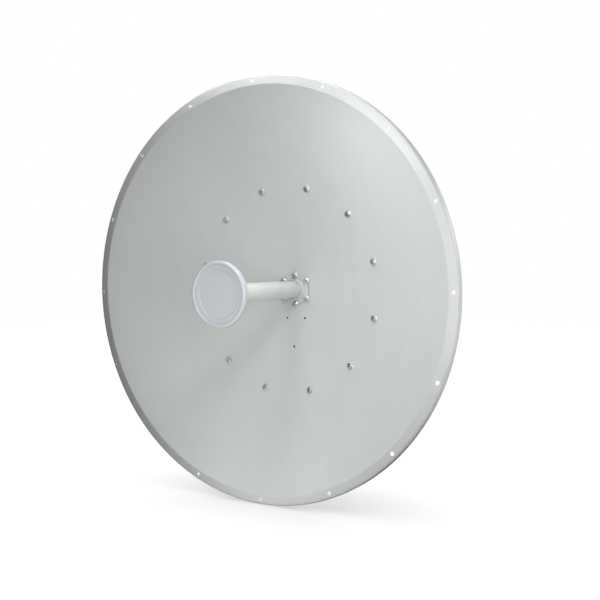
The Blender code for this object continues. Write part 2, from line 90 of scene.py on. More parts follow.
# A softbox is (place, width, watts) and faces the middle of the dish.
SOFTBOXES = {
    "top_softbox": ((0.0, -0.38, 0.8), 0.3, 3.3),
    "high_right_softbox": ((0.45, -0.4, 0.62), 0.3, 0.65),
    "high_front_softbox": ((0.1, -0.65, 0.4), 0.3, 0.5),
    "upper_right_softbox": ((0.3, -0.52, 0.34), 0.15, 0.85),
    "right_softbox": ((0.55, -0.6, 0.0), 0.6, 1.3),
    "front_right_softbox": ((0.55, -0.95, 0.0), 0.6, 2.35),
    "upper_left_softbox": ((-0.55, -0.6, 0.5), 0.6, 0.3),
    "middle_softbox": ((0.0, -0.6, 0.0), 0.6, 0.53),
    "low_softbox": ((0.0, -0.6, -0.4), 0.6, 1.35),
    "side_softbox": ((0.95, -0.25, 0.25), 0.3, 0.15),
    "low_side_softbox": ((1.0, -0.1, -0.5), 0.4, 2.0),
    "rear_right_softbox": ((1.6, 0.8, 0.7), 0.6, 24.0),
    "rear_left_softbox": ((-1.6, 0.9, 0.7), 0.6, 28.0),
}
DISH_MIDDLE = Vector((0, -0.2, 0))


def softbox(name, place, size, power):
    light = bpy.data.lights.new(name, "AREA")
    light.shape = "DISK"
    light.size = size
    light.energy = power
    holder = bpy.data.objects.new(name, light)
    bpy.context.scene.collection.objects.link(holder)
    facing = (Vector(place) - DISH_MIDDLE).to_track_quat("Z", "Y").to_matrix().to_4x4()
    holder.matrix_world = Matrix.Translation(place) @ facing
    holder.visible_camera = False


for box_name, box in SOFTBOXES.items():
    softbox(box_name, *box)


def object_from(name, mesh):
    made = bpy.data.objects.new(name, mesh)
    bpy.context.scene.collection.objects.link(made)
    return made


FLOOR_HALF_SIZE = 6
SHADOW_REACH = 0.30
SHADOW_GREY = 0.62
FLOOR_WHITE = 1.06
DARKEST_OPENNESS = 0.35


def mesh_from(name, shape):
    """A new mesh with this bmesh's faces. The bmesh is freed."""
    mesh = bpy.data.meshes.new(name)
    shape.to_mesh(mesh)
    shape.free()
    return mesh


def floor():
    """A glowing white floor that no lamp lights, its glow painted grey close to what stands on it as a
    painted shadow.
    """
    shape = bmesh.new()
    bmesh.ops.create_grid(shape, x_segments=1, y_segments=1, size=FLOOR_HALF_SIZE)
    mesh = mesh_from("studio_floor", shape)
    mesh.transform(Matrix.Translation((0, 0, FLOOR_Z)))
    paint = bpy.data.materials.new("floor_paint")
    paint.use_nodes = True
    tree = paint.node_tree
    shader = tree.nodes["Principled BSDF"]
    shader.inputs["Base Color"].default_value = (0, 0, 0, 1)
    shader.inputs["Specular IOR Level"].default_value = 0
    shader.inputs["Emission Strength"].default_value = 1
    # Painted shadow: ambient occlusion turns the floor's glow grey where the dish closes it in.
    open_sky = tree.nodes.new("ShaderNodeAmbientOcclusion")
    open_sky.samples = 16
    open_sky.inputs["Distance"].default_value = SHADOW_REACH
    white = tree.nodes.new("ShaderNodeMapRange")
    white.inputs["From Min"].default_value = DARKEST_OPENNESS
    white.inputs["To Min"].default_value = SHADOW_GREY
    white.inputs["To Max"].default_value = FLOOR_WHITE
    tree.links.new(open_sky.outputs["AO"], white.inputs["Value"])
    tree.links.new(white.outputs["Result"], shader.inputs["Emission Color"])
    mesh.materials.append(paint)
    made = object_from("studio_floor", mesh)
    made.visible_diffuse = False
    made.visible_glossy = False
    made.visible_shadow = False
    return made


floor()


# Reflector: one aluminium sheet pressed to a paraboloid, with a flat rim and a lip turned
# back round it. Sixteen holes in the rim take the screws of a cover, twelve take the frame
# bolts and three sit under the feed. It is powder coated in pale grey on both sides.
VERTEX_Y = -0.100
FOCAL_LENGTH = 0.3484
BOWL_DEPTH = 0.180
SHEET = 0.002
REFLECTOR_SIZES = {
    "Focal length": FOCAL_LENGTH,
    "Bore radius": 0.0245,
    "Bowl radius": 0.50006,
    "Bowl depth": BOWL_DEPTH,
    "Fold radius": 0.003,
    "Rim radius": 0.525,
    "Rim bend": 0.004,
    "Lip depth": 0.018,
    "Steps round": 288,
}
RIM_HOLES = {"count": 16, "circle": 0.512, "radius": 0.005}
FRAME_BOLTS = {"count": 12, "circle": 0.264, "radius": 0.0044}
SMALL_HOLES = ((-0.0275, -0.075), (0.0275, -0.075), (0.0, -0.149))
SMALL_HOLE_RADIUS = 0.0032
DRILL_LENGTH = 0.016


class Wire:
    """One socket of a node tree. Sums and products of wires add Math nodes."""

    def __init__(self, tree, socket=None):
        self.tree = tree
        self.socket = socket

    def node(self, kind, settings=None, values=None, output=0):
        """Adds a node: its settings first, then a value, wire or list of wires for each socket."""
        made = self.tree.nodes.new(kind)
        for name, value in (settings or {}).items():
            setattr(made, name, value)
        for name, value in (values or {}).items():
            if isinstance(value, (Wire, list)):
                for wire in value if isinstance(value, list) else [value]:
                    self.tree.links.new(wire.socket, made.inputs[name])
            else:
                made.inputs[name].default_value = value
        return Wire(self.tree, made.outputs[output])

    def math(self, operation, first, second=0.0):
        return self.node("ShaderNodeMath", {"operation": operation}, {0: first, 1: second})

    def __add__(self, other):
        return self.math("ADD", self, other)

    def __radd__(self, other):
        return self.math("ADD", other, self)

    def __sub__(self, other):
        return self.math("SUBTRACT", self, other)

    def __rsub__(self, other):
        return self.math("SUBTRACT", other, self)

    def __mul__(self, other):
        return self.math("MULTIPLY", self, other)

    def __rmul__(self, other):
        return self.math("MULTIPLY", other, self)

    def __truediv__(self, other):
        return self.math("DIVIDE", self, other)

    def __rtruediv__(self, other):
        return self.math("DIVIDE", other, self)

    def cos(self):
        return self.math("COSINE", self)

    def sin(self):
        return self.math("SINE", self)


SOCKET_KINDS = {
    int: "NodeSocketInt",
    float: "NodeSocketFloat",
    bpy.types.Material: "NodeSocketMaterial",
}


def shape_tree(name, sizes, build):
    """A Geometry Nodes tree with a named input for each size, which build turns into geometry."""
    tree = bpy.data.node_groups.new(name, "GeometryNodeTree")
    tree.interface.new_socket("Points", in_out="INPUT", socket_type="NodeSocketGeometry")
    for size, value in sizes.items():
        tree.interface.new_socket(size, in_out="INPUT", socket_type=SOCKET_KINDS[type(value)])
    tree.interface.new_socket("Shape", in_out="OUTPUT", socket_type="NodeSocketGeometry")
    source = tree.nodes.new("NodeGroupInput")
    wires = {socket.name: Wire(tree, socket) for socket in source.outputs if socket.name}
    shape = build(wires)
    shape = shape.node("GeometryNodeRealizeInstances", None, {"Geometry": shape})
    values = {"Geometry": shape, "Material": wires["Finish"]}
    shape = shape.node("GeometryNodeSetMaterial", None, values)
    tree.links.new(shape.socket, tree.nodes.new("NodeGroupOutput").inputs[0])
    return tree


def grown(name, tree, sizes, points=None):
    """The plain mesh that a tree makes from these sizes, standing on these points."""
    holder = object_from(name + "_source", points or bpy.data.meshes.new(name + "_source"))
    modifier = holder.modifiers.new("shape", "NODES")
    modifier.node_group = tree
    for item in tree.interface.items_tree:
        if item.in_out == "INPUT" and item.name in sizes:
            modifier[item.identifier] = sizes[item.name]
    graph = bpy.context.evaluated_depsgraph_get()
    mesh = bpy.data.meshes.new_from_object(holder.evaluated_get(graph))
    bpy.data.objects.remove(holder, do_unlink=True)
    mesh.name = name
    return mesh


def coat_shader(name, colour, roughness, metallic=0.0):
    """A material with its even values set. Returns (material, wire of Object coordinates)."""
    made = bpy.data.materials.new(name)
    made.use_nodes = True
    shader = made.node_tree.nodes["Principled BSDF"]
    shader.inputs["Base Color"].default_value = (*colour, 1)
    shader.inputs["Roughness"].default_value = roughness
    shader.inputs["Metallic"].default_value = metallic
    start = Wire(made.node_tree)
    place = start.node("ShaderNodeTexCoord", None, None, "Object")
    return made, place


def feed_shader(made, colour, roughness, bump, strength, distance):
    """Links what varies over the surface into the Principled shader."""
    shader = made.node_tree.nodes["Principled BSDF"]
    links = made.node_tree.links
    links.new(colour.socket, shader.inputs["Base Color"])
    links.new(roughness.socket, shader.inputs["Roughness"])
    values = {"Height": bump, "Strength": strength, "Distance": distance}
    raised = bump.node("ShaderNodeBump", None, values)
    links.new(raised.socket, shader.inputs["Normal"])
    return made


def noise(place, scale, detail=3.0, roughness=0.5):
    values = {"Vector": place, "Scale": scale, "Detail": detail, "Roughness": roughness}
    return place.node("ShaderNodeTexNoise", None, values, "Fac")


def between(share, first, second):
    """A colour, or a wire, that goes from the first to the second as the share rises."""
    first, second = (tone if isinstance(tone, Wire) else (*tone, 1) for tone in (first, second))
    values = {0: share, 6: first, 7: second}
    return share.node("ShaderNodeMix", {"data_type": "RGBA"}, values, 2)


def worn_edge(place, width):
    """1 on an outer edge within this width, 0 on the flats."""
    rounded = place.node("ShaderNodeBevel", {"samples": 4}, {"Radius": width})
    straight = place.node("ShaderNodeNewGeometry", None, None, "Normal")
    normals = {0: rounded, 1: straight}
    same = place.node("ShaderNodeVectorMath", {"operation": "DOT_PRODUCT"}, normals, "Value")
    values = {"Value": same, "From Min": 0.99, "From Max": 0.85}
    return place.node("ShaderNodeMapRange", None, values)


def powder_coat(name, clean, dusty, rubbed):
    """Baked powder: a fine orange peel, cloudy tone, streaks of dust, and rubbed edges."""
    made, place = coat_shader(name, clean, roughness=0.42)
    clouds = noise(place, scale=5.0, detail=4.0)
    stretch = place.node("ShaderNodeMapping", None, {"Vector": place, "Scale": (30, 30, 2.5)})
    runs = noise(stretch, scale=1.0, detail=3.0)
    specks = noise(place, scale=700.0, detail=2.0)
    dust = clouds * 0.6 + runs * 0.4
    values = {"Value": dust, "From Min": 0.35, "From Max": 0.7}
    dust = dust.node("ShaderNodeMapRange", None, values)
    peel = noise(place, scale=260.0, detail=1.0)
    worn = worn_edge(place, width=0.0008) * noise(place, scale=45.0)
    tone = between(worn, between(dust, clean, dusty), rubbed)
    gloss = 0.36 + 0.10 * clouds + 0.04 * specks + 0.15 * worn
    return feed_shader(made, tone, gloss, peel, strength=0.12, distance=0.0006)


def bowl_height(radius):
    return radius * radius / (4 * FOCAL_LENGTH)


def bowl_tilt(radius):
    return math.atan(radius / (2 * FOCAL_LENGTH))


def sheet_shape(wires):
    """Bands of the sheet side by side: bowl, fold, flat rim, bend and lip."""
    start = wires["Points"]
    focal, bowl, depth = wires["Focal length"], wires["Bowl radius"], wires["Bowl depth"]
    rim, bend, fold = wires["Rim radius"], wires["Rim bend"], wires["Fold radius"]
    slope = start.math("ARCTANGENT", bowl / (2.0 * focal))
    fold_end = bowl + fold * slope.sin()

    def band(stations, path):
        counts = {"Size X": 1.0, "Size Y": 1.0, "Vertices X": stations + 1}
        counts["Vertices Y"] = wires["Steps round"] + 1.0
        grid = start.node("GeometryNodeMeshGrid", None, counts)
        here = start.node("GeometryNodeInputPosition")
        share = here.node("ShaderNodeSeparateXYZ", None, {0: here}, 0) + 0.5
        turn = (here.node("ShaderNodeSeparateXYZ", None, {0: here}, 1) + 0.5) * (2 * math.pi)
        radius, height = path(share)
        where = {"X": radius * turn.cos(), "Y": VERTEX_Y - height, "Z": radius * turn.sin()}
        place = start.node("ShaderNodeCombineXYZ", None, where)
        return start.node("GeometryNodeSetPosition", None, {"Geometry": grid, "Position": place})

    def dish(share):
        radius = wires["Bore radius"] + (bowl - wires["Bore radius"]) * share
        return radius, radius * radius / (4.0 * focal)

    def fold_line(share):
        turn = slope * (1.0 - share)
        return fold_end - fold * turn.sin(), depth - fold * (1.0 - turn.cos())

    def flat(share):
        return fold_end + (rim - bend - fold_end) * share, depth + 0.0 * share

    def bend_line(share):
        turn = share * (math.pi / 2)
        return rim - bend * (1.0 - turn.sin()), depth - bend * (1.0 - turn.cos())

    def lip(share):
        return rim + 0.0 * share, depth - bend - (wires["Lip depth"] - bend) * share

    bands = [band(44, dish), band(4, fold_line), band(3, flat), band(5, bend_line), band(2, lip)]
    joined = start.node("GeometryNodeJoinGeometry", None, {0: bands})
    return joined.node("GeometryNodeMergeByDistance", None, {"Geometry": joined, "Distance": 0.00001})


def round_the_axis(count, circle, first_angle, height, tilt=0.0):
    """Places on a circle before the vertex, their Z axes leaning towards the dish's axis."""
    places = []
    for index in range(count):
        turn = Matrix.Rotation(-first_angle - 2 * math.pi * index / count, 4, "Y")
        lean = Matrix.Rotation(math.pi / 2, 4, "X") @ Matrix.Rotation(-tilt, 4, "Y")
        places.append(turn @ Matrix.Translation((circle, VERTEX_Y - height, 0)) @ lean)
    return places


def frame_bolt_places():
    count, circle = FRAME_BOLTS["count"], FRAME_BOLTS["circle"]
    start = math.pi / count
    return round_the_axis(count, circle, start, bowl_height(circle), bowl_tilt(circle))


def facing_front(y, spots):
    """Places at this y, for each (x, z), that look along the dish's axis."""
    turn = Matrix.Rotation(math.pi / 2, 4, "X")
    return [Matrix.Translation((x, y, z)) @ turn for x, z in spots]


def facing_rear(y, spots):
    """Places at this y, for each (x, z), that look out at the back."""
    turn = Matrix.Rotation(-math.pi / 2, 4, "X")
    return [Matrix.Translation((x, y, z)) @ turn for x, z in spots]


def drills(name, groups):
    """One mesh of the drills that cut all the holes of a sheet."""
    shape = bmesh.new()
    for radius, places in groups:
        for place in places:
            bmesh.ops.create_cone(
                shape,
                cap_ends=True,
                segments=32,
                radius1=radius,
                radius2=radius,
                depth=DRILL_LENGTH,
                matrix=place,
            )
    return mesh_from(name, shape)


def finished(obj):
    """The object with its modifiers made part of its mesh."""
    graph = bpy.context.evaluated_depsgraph_get()
    mesh = bpy.data.meshes.new_from_object(obj.evaluated_get(graph))
    obj.modifiers.clear()
    obj.data = mesh
    return obj


def shade(mesh, angle):
    mesh.shade_smooth()
    mesh.set_sharp_from_angle(angle=math.radians(angle))
    return mesh


def put(piece, slot, *nodes):
    """The piece rides on the antenna's one body and replaces these nodes, if any."""
    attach(piece, "root")
    if nodes:
        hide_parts(*nodes)
    return piece


dish_coat = powder_coat(
    "dish_powder_coat",
    clean=(0.510, 0.532, 0.521),
    dusty=(0.488, 0.506, 0.493),
    rubbed=(0.60, 0.61, 0.60),
)
REFLECTOR_SIZES["Finish"] = dish_coat
sheet_tree = shape_tree("pressed_sheet", REFLECTOR_SIZES, sheet_shape)
reflector = object_from("pressed_reflector", grown("pressed_reflector", sheet_tree, REFLECTOR_SIZES))
thickness = reflector.modifiers.new("thickness", "SOLIDIFY")
thickness.thickness = SHEET
thickness.offset = -1
thickness.use_even_offset = True
first_rim_hole = 2 * math.pi / RIM_HOLES["count"]
rim_places = round_the_axis(RIM_HOLES["count"], RIM_HOLES["circle"], first_rim_hole, BOWL_DEPTH)
small_places = []
for spot in SMALL_HOLES:
    small_places += facing_front(VERTEX_Y - bowl_height(math.hypot(*spot)), [spot])
hole_groups = [
    (RIM_HOLES["radius"], rim_places),
    (FRAME_BOLTS["radius"], frame_bolt_places()),
    (SMALL_HOLE_RADIUS, small_places),
]
drill = object_from("sheet_drills", drills("sheet_drills", hole_groups))
cut = reflector.modifiers.new("holes", "BOOLEAN")
cut.operation = "DIFFERENCE"
cut.solver = "EXACT"
cut.object = drill
finished(reflector)
bpy.data.objects.remove(drill, do_unlink=True)
shade(reflector.data, 40)
put(reflector, "powder_coat", "reflector")


# Frame bolts: twelve M8 flange-head bolts, zinc plated. They go through the bowl into nuts
# that are welded on the ring behind it, and their ends stand out of the nuts.
FRAME_BOLT = {
    "Across flats": 0.013,
    "Head height": 0.0068,
    "Chamfer": 0.0008,
    "Flange radius": 0.0087,
    "Flange height": 0.0017,
    "Shank radius": 0.0038,
    "Shank length": 0.0138,
}


def plated(name, bright, dull, roughness):
    """Plating over steel: cloudy dull patches, fine grain, and brighter worn edges."""
    made, place = coat_shader(name, bright, roughness, metallic=1.0)
    clouds = noise(place, scale=60.0, detail=4.0)
    grain = noise(place, scale=900.0, detail=2.0)
    values = {"Value": clouds, "From Min": 0.4, "From Max": 0.65}
    patches = clouds.node("ShaderNodeMapRange", None, values)
    worn = worn_edge(place, width=0.0006)
    tone = between(patches * (1.0 - worn), bright, dull)
    gloss = roughness + 0.12 * patches + 0.06 * grain - 0.10 * worn
    return feed_shader(made, tone, gloss, grain, strength=0.08, distance=0.0002)


def standing_on(wires, shape):
    """One copy of the shape on each point, its Z along the point's aim and turned at random."""
    start = wires["Points"]
    vector = {"data_type": "FLOAT_VECTOR"}
    aim = start.node("GeometryNodeInputNamedAttribute", vector, {"Name": "aim"})
    lean = start.node("FunctionNodeAlignRotationToVector", {"axis": "Z"}, {"Vector": aim})
    any_angle = {2: 0.0, 3: 6.28, "Seed": 7}
    angle = start.node("FunctionNodeRandomValue", {"data_type": "FLOAT"}, any_angle, 1)
    spin = start.node("FunctionNodeAxisAngleToRotation", None, {"Axis": (0, 0, 1), "Angle": angle})
    both = {"Rotation": lean, "Rotate By": spin}
    turn = start.node("FunctionNodeRotateRotation", {"rotation_space": "LOCAL"}, both)
    values = {"Points": start, "Instance": shape, "Rotation": turn}
    return start.node("GeometryNodeInstanceOnPoints", None, values)


def drum(start, sides, low, height, bottom, top):
    """A closed drum or taper along Z, from this height up."""
    values = {"Vertices": sides, "Radius Bottom": bottom, "Radius Top": top, "Depth": height}
    cone = start.node("GeometryNodeMeshCone", {"fill_type": "NGON"}, values)
    lift = start.node("ShaderNodeCombineXYZ", None, {"Z": low})
    return start.node("GeometryNodeTransform", None, {"Geometry": cone, "Translation": lift})


def bolt_shape(wires):
    start = wires["Points"]
    corner = wires["Across flats"] / math.sqrt(3)
    crown = corner * 0.86
    flat_top = wires["Head height"] - wires["Chamfer"]
    ledge = wires["Flange height"]
    rim = wires["Flange radius"]
    shank, length = wires["Shank radius"], wires["Shank length"]
    parts = [
        drum(start, 32, 0.0, ledge * 0.5, rim, rim),
        drum(start, 32, ledge * 0.5, ledge * 0.8, rim, corner),
        drum(start, 6, ledge * 0.9, flat_top - ledge * 0.9, corner, corner),
        drum(start, 6, flat_top, wires["Chamfer"], corner, crown),
        drum(start, 24, -1.0 * length, length, shank, shank),
    ]
    return standing_on(wires, start.node("GeometryNodeJoinGeometry", None, {0: parts}))


def points_of(name, places):
    """A mesh of single points, each with the way that a fastener there stands out."""
    mesh = bpy.data.meshes.new(name)
    mesh.from_pydata([place.translation for place in places], [], [])
    aims = mesh.attributes.new("aim", "FLOAT_VECTOR", "POINT")
    for index, place in enumerate(places):
        aims.data[index].vector = place.to_3x3() @ Vector((0, 0, 1))
    return mesh


def grow_piece(name, tree, sizes, places, slot, *nodes):
    """Puts a piece with the tree's shape at each place. It replaces these nodes, if any."""
    mesh = grown(name, tree, sizes, points_of(name + "_points", places))
    return put(object_from(name, shade(mesh, 30)), slot, *nodes)


bolt_zinc = plated(
    "bolt_zinc", bright=(0.68, 0.68, 0.67), dull=(0.50, 0.50, 0.49), roughness=0.30
)
FRAME_BOLT["Finish"] = bolt_zinc
bolt_tree = shape_tree("flange_bolt", FRAME_BOLT, bolt_shape)
grow_piece("frame_bolts", bolt_tree, FRAME_BOLT, frame_bolt_places(), "zinc")


# Back ring: a pressed steel hat that carries the bowl, bent in towards the axis behind it.
# Its flange follows the bowl and holds the twelve weld nuts. Powder coated like the dish.
RING_OUTER = 0.282
RING_WALL = 0.2505
RING_INNER = 0.208
RING_SHEET = 0.0025
RING_REAR_Y = -0.086
RING_NUT = {
    "Across flats": 0.013,
    "Height": 0.0065,
    "Chamfer": 0.0008,
    "Washer radius": 0.0082,
    "Washer height": 0.0010,
}
RING_NUT_BEHIND_FRONT = 0.0048
FIT_GAP = 0.0003


def softened(corners, steps=5):
    """The outline with an arc at each corner. A corner is (along, out, rounding)."""
    outline = []
    for index, (along, out, rounding) in enumerate(corners):
        here = Vector((along, out))
        if not rounding:
            outline.append(here)
            continue
        before = (Vector(corners[index - 1][:2]) - here).normalized()
        after = (Vector(corners[(index + 1) % len(corners)][:2]) - here).normalized()
        half = before.angle(after) / 2
        centre = here + (before + after).normalized() * rounding / math.sin(half)
        first = here + before * rounding / math.tan(half) - centre
        last = here + after * rounding / math.tan(half) - centre
        for step in range(steps + 1):
            share = step / steps
            blend = first.lerp(last, share).normalized() * rounding
            outline.append(centre + blend)
    return outline


def turned(name, corners, steps, middle=(0.0, 0.0)):
    """A solid turned round an axis along Y. Its corners count forwards from the vertex."""
    shape = bmesh.new()
    rings = []
    for along, out in softened(corners):
        y = VERTEX_Y - along
        if out < 0.00001:
            rings.append([shape.verts.new((middle[0], y, middle[1]))])
            continue
        angles = [2 * math.pi * step / steps for step in range(steps)]
        ring = [(middle[0] + out * math.cos(a), y, middle[1] + out * math.sin(a)) for a in angles]
        rings.append([shape.verts.new(place) for place in ring])
    for one, other in zip(rings, rings[1:] + rings[:1]):
        if len(one) == len(other) == 1:
            continue
        for step in range(steps):
            corner = [one[step % len(one)], one[(step + 1) % len(one)]]
            corner += [other[(step + 1) % len(other)], other[step % len(other)]]
            shape.faces.new(list(dict.fromkeys(corner)))
    bmesh.ops.recalc_face_normals(shape, faces=shape.faces)
    return mesh_from(name, shape)


def coated(name, mesh, finish, angle=35):
    """An object of this mesh in one finish, smooth but for edges sharper than the angle."""
    mesh.materials.clear()
    mesh.materials.append(finish)
    return object_from(name, shade(mesh, angle))


def ring_front(radius):
    """How far the ring's flange front stands before the vertex."""
    tilt = bowl_tilt(FRAME_BOLTS["circle"])
    middle = bowl_height(FRAME_BOLTS["circle"]) - (SHEET + FIT_GAP) / math.cos(tilt)
    return middle + math.tan(tilt) * (radius - FRAME_BOLTS["circle"])


ring_sheet_along = RING_SHEET / math.cos(bowl_tilt(FRAME_BOLTS["circle"]))
ring_wall_inside = RING_WALL - RING_SHEET
ring_rear = VERTEX_Y - RING_REAR_Y
ring_outline = [
    (ring_front(RING_OUTER), RING_OUTER, 0.0008),
    (ring_front(RING_OUTER) - ring_sheet_along, RING_OUTER, 0.0008),
    (ring_front(RING_WALL) - ring_sheet_along, RING_WALL, 0.0030),
    (ring_rear, RING_WALL, 0.0050),
    (ring_rear, RING_INNER, 0.0008),
    (ring_rear + RING_SHEET, RING_INNER, 0.0008),
    (ring_rear + RING_SHEET, ring_wall_inside, 0.0025),
    (ring_front(ring_wall_inside), ring_wall_inside, 0.0050),
]
ring = coated("pressed_back_ring", turned("pressed_back_ring", ring_outline, 240), dish_coat)
put(ring, "powder_coat", "back_ring")


def nut_shape(wires):
    start = wires["Points"]
    corner = wires["Across flats"] / math.sqrt(3)
    crown = corner * 0.88
    washer, washer_radius = wires["Washer height"], wires["Washer radius"]
    chamfer = wires["Chamfer"]
    middle = wires["Height"] - 2.0 * chamfer
    parts = [
        drum(start, 32, 0.0, washer, washer_radius, washer_radius),
        drum(start, 6, washer, chamfer, crown, corner),
        drum(start, 6, washer + chamfer, middle, corner, corner),
        drum(start, 6, washer + chamfer + middle, chamfer, corner, crown),
    ]
    return standing_on(wires, start.node("GeometryNodeJoinGeometry", None, {0: parts}))


turned_over = Matrix.Rotation(math.pi, 4, "X")
behind_the_bowl = Matrix.Translation((0, 0, -RING_NUT_BEHIND_FRONT)) @ turned_over
RING_NUT["Finish"] = dish_coat
nut_tree = shape_tree("nut_and_washer", RING_NUT, nut_shape)
ring_nut_places = [place @ behind_the_bowl for place in frame_bolt_places()]
grow_piece("ring_weld_nuts", nut_tree, RING_NUT, ring_nut_places, "powder_coat")


# Feed mount: a round steel flange on the bowl with a lug for each of its six bolts, and a
# slim cast collar that holds the foot of the feed tube. Both are enamelled pale grey.
FLANGE_FRONT = 0.0065
FLANGE_REAR = 0.0025
FLANGE_EDGE = 0.0009
FLANGE_DISC = 0.0395
FLANGE_LUG = 0.0088
FLANGE_LUGS = (
    (-0.035, 0.0235),
    (0.035, 0.0235),
    (-0.035, -0.0235),
    (0.035, -0.0235),
    (0, 0.037),
    (0, -0.037),
)
FLANGE_BORE = 0.0231
FLANGE_BOLT = {
    "Across flats": 0.0092,
    "Head height": 0.0070,
    "Chamfer": 0.0007,
    "Flange radius": 0.0066,
    "Flange height": 0.0014,
    "Shank radius": 0.0028,
    "Shank length": 0.0150,
}
COLLAR = [
    (0.0068, 0.0285, 0.0005),
    (0.0090, 0.0285, 0.0012),
    (0.0118, 0.0250, 0.0024),
    (0.0208, 0.0243, 0.0006),
    (0.0208, 0.0231, 0.0003),
    (0.0068, 0.0231, 0),
]


def lugged_outline(disc, lug, lugs, steps=180):
    """The outer edge of a disc with a round lug at each place, seen along the dish's axis."""
    outline = []
    for step in range(steps):
        angle = 2 * math.pi * step / steps
        ray = Vector((math.cos(angle), math.sin(angle)))
        reach = disc
        for spot in map(Vector, lugs):
            aside = spot.x * ray.y - spot.y * ray.x
            if abs(aside) < lug and spot.dot(ray) > 0:
                reach = max(reach, spot.dot(ray) + math.sqrt(lug * lug - aside * aside))
        outline.append(ray * reach)
    return outline


def flange_plate(name):
    """The flange as a plate: its lugged edge and its bore, joined across both faces."""
    shape = bmesh.new()
    loops = []
    outer = lugged_outline(FLANGE_DISC, FLANGE_LUG, FLANGE_LUGS)
    bore = [edge.normalized() * FLANGE_BORE for edge in outer]
    corners = (
        (outer, FLANGE_FRONT),
        (outer, FLANGE_REAR),
        (bore, FLANGE_REAR),
        (bore, FLANGE_FRONT),
    )
    for line, along in corners:
        loops.append([shape.verts.new((edge.x, VERTEX_Y - along, edge.y)) for edge in line])
    for one, other in zip(loops, loops[1:] + loops[:1]):
        for step in range(len(one)):
            after = (step + 1) % len(one)
            shape.faces.new((one[step], one[after], other[after], other[step]))
    bmesh.ops.recalc_face_normals(shape, faces=shape.faces)
    return mesh_from(name, shape)


def edges_rounded(made, edge, angle):
    """The object with its sharp edges rounded to this radius."""
    rounding = made.modifiers.new("rounding", "BEVEL")
    rounding.width = edge
    rounding.segments = 3
    rounding.limit_method = "ANGLE"
    rounding.angle_limit = math.radians(40)
    rounding.use_clamp_overlap = True
    finished(made)
    shade(made.data, angle)
    return made


def enamel(name, clean, stained):
    """Stoved enamel: almost even, with faint stains, a soft gloss and paler rubbed edges."""
    made, place = coat_shader(name, clean, roughness=0.3)
    stains = noise(place, scale=28.0, detail=4.0)
    values = {"Value": stains, "From Min": 0.5, "From Max": 0.75}
    patches = stains.node("ShaderNodeMapRange", None, values)
    waves = noise(place, scale=180.0, detail=2.0)
    worn = worn_edge(place, width=0.0007)
    tone = between(patches * (1.0 - worn), clean, stained)
    gloss = 0.26 + 0.16 * stains + 0.08 * worn
    return feed_shader(made, tone, gloss, waves, strength=0.06, distance=0.0004)


mount_enamel = enamel(
    "mount_enamel", clean=(0.470, 0.487, 0.475), stained=(0.430, 0.440, 0.430)
)
flange = coated("stamped_feed_flange", flange_plate("stamped_feed_flange"), mount_enamel)
put(edges_rounded(flange, FLANGE_EDGE, 35), "feed_enamel", "feed_flange")
collar = coated("cast_feed_collar", turned("cast_feed_collar", COLLAR, 96), mount_enamel)
put(collar, "feed_enamel", "feed_collar")
FLANGE_BOLT["Finish"] = bolt_zinc
flange_bolt_places = facing_front(VERTEX_Y - FLANGE_FRONT, FLANGE_LUGS)
grow_piece("flange_bolts", bolt_tree, FLANGE_BOLT, flange_bolt_places, "zinc")


# Feed tube: a 45 mm drawn tube, enamelled, from the housing behind the bowl to the cone.
TUBE = [
    (-0.0063, 0.0225, 0.0004),
    (0.2764, 0.0225, 0.0004),
    (0.2764, 0.0, 0),
    (-0.0063, 0.0, 0),
]
tube_enamel = enamel(
    "tube_enamel", clean=(0.545, 0.570, 0.548), stained=(0.510, 0.530, 0.510)
)
tube = coated("drawn_feed_tube", turned("drawn_feed_tube", TUBE, 96), tube_enamel)
put(tube, "feed_enamel", "feed_tube")


# Feed cap and cone: moulded plastic. The cone flares from the tube to the subreflector
# behind the cap, and the cap's face steps down twice inside its rounded lip.
CONE = [
    (0.3207, 0.0, 0),
    (0.3207, 0.0460, 0.0010),
    (0.3167, 0.0460, 0.0010),
    (0.2847, 0.0240, 0.0060),
    (0.2767, 0.0240, 0.0008),
    (0.2767, 0.0, 0),
]
CAP = [
    (0.3315, 0.0, 0),
    (0.3315, 0.0570, 0.0006),
    (0.3340, 0.0580, 0.0008),
    (0.3340, 0.0690, 0.0008),
    (0.3380, 0.0704, 0.0018),
    (0.3380, 0.0777, 0.0052),
    (0.3270, 0.0777, 0.0040),
    (0.3210, 0.0755, 0.0020),
    (0.3210, 0.0, 0),
]


def moulded(name, clean, faded):
    """Outdoor plastic: a fine mould texture, sun-faded clouds and a dull gloss."""
    made, place = coat_shader(name, clean, roughness=0.4)
    clouds = noise(place, scale=14.0, detail=3.0)
    grain = noise(place, scale=1400.0, detail=2.0)
    worn = worn_edge(place, width=0.0006)
    tone = between(clouds * (1.0 - worn), clean, faded)
    gloss = 0.34 + 0.10 * clouds + 0.06 * grain
    return feed_shader(made, tone, gloss, grain, strength=0.10, distance=0.0002)


cap_plastic = moulded(
    "cap_plastic", clean=(0.416, 0.438, 0.460), faded=(0.400, 0.420, 0.438)
)
cone = coated("moulded_feed_cone", turned("moulded_feed_cone", CONE, 96), cap_plastic)
put(cone, "cap_plastic", "feed_cone")
cap = coated("moulded_feed_cap", turned("moulded_feed_cap", CAP, 144), cap_plastic)
put(cap, "cap_plastic", "feed_cap")


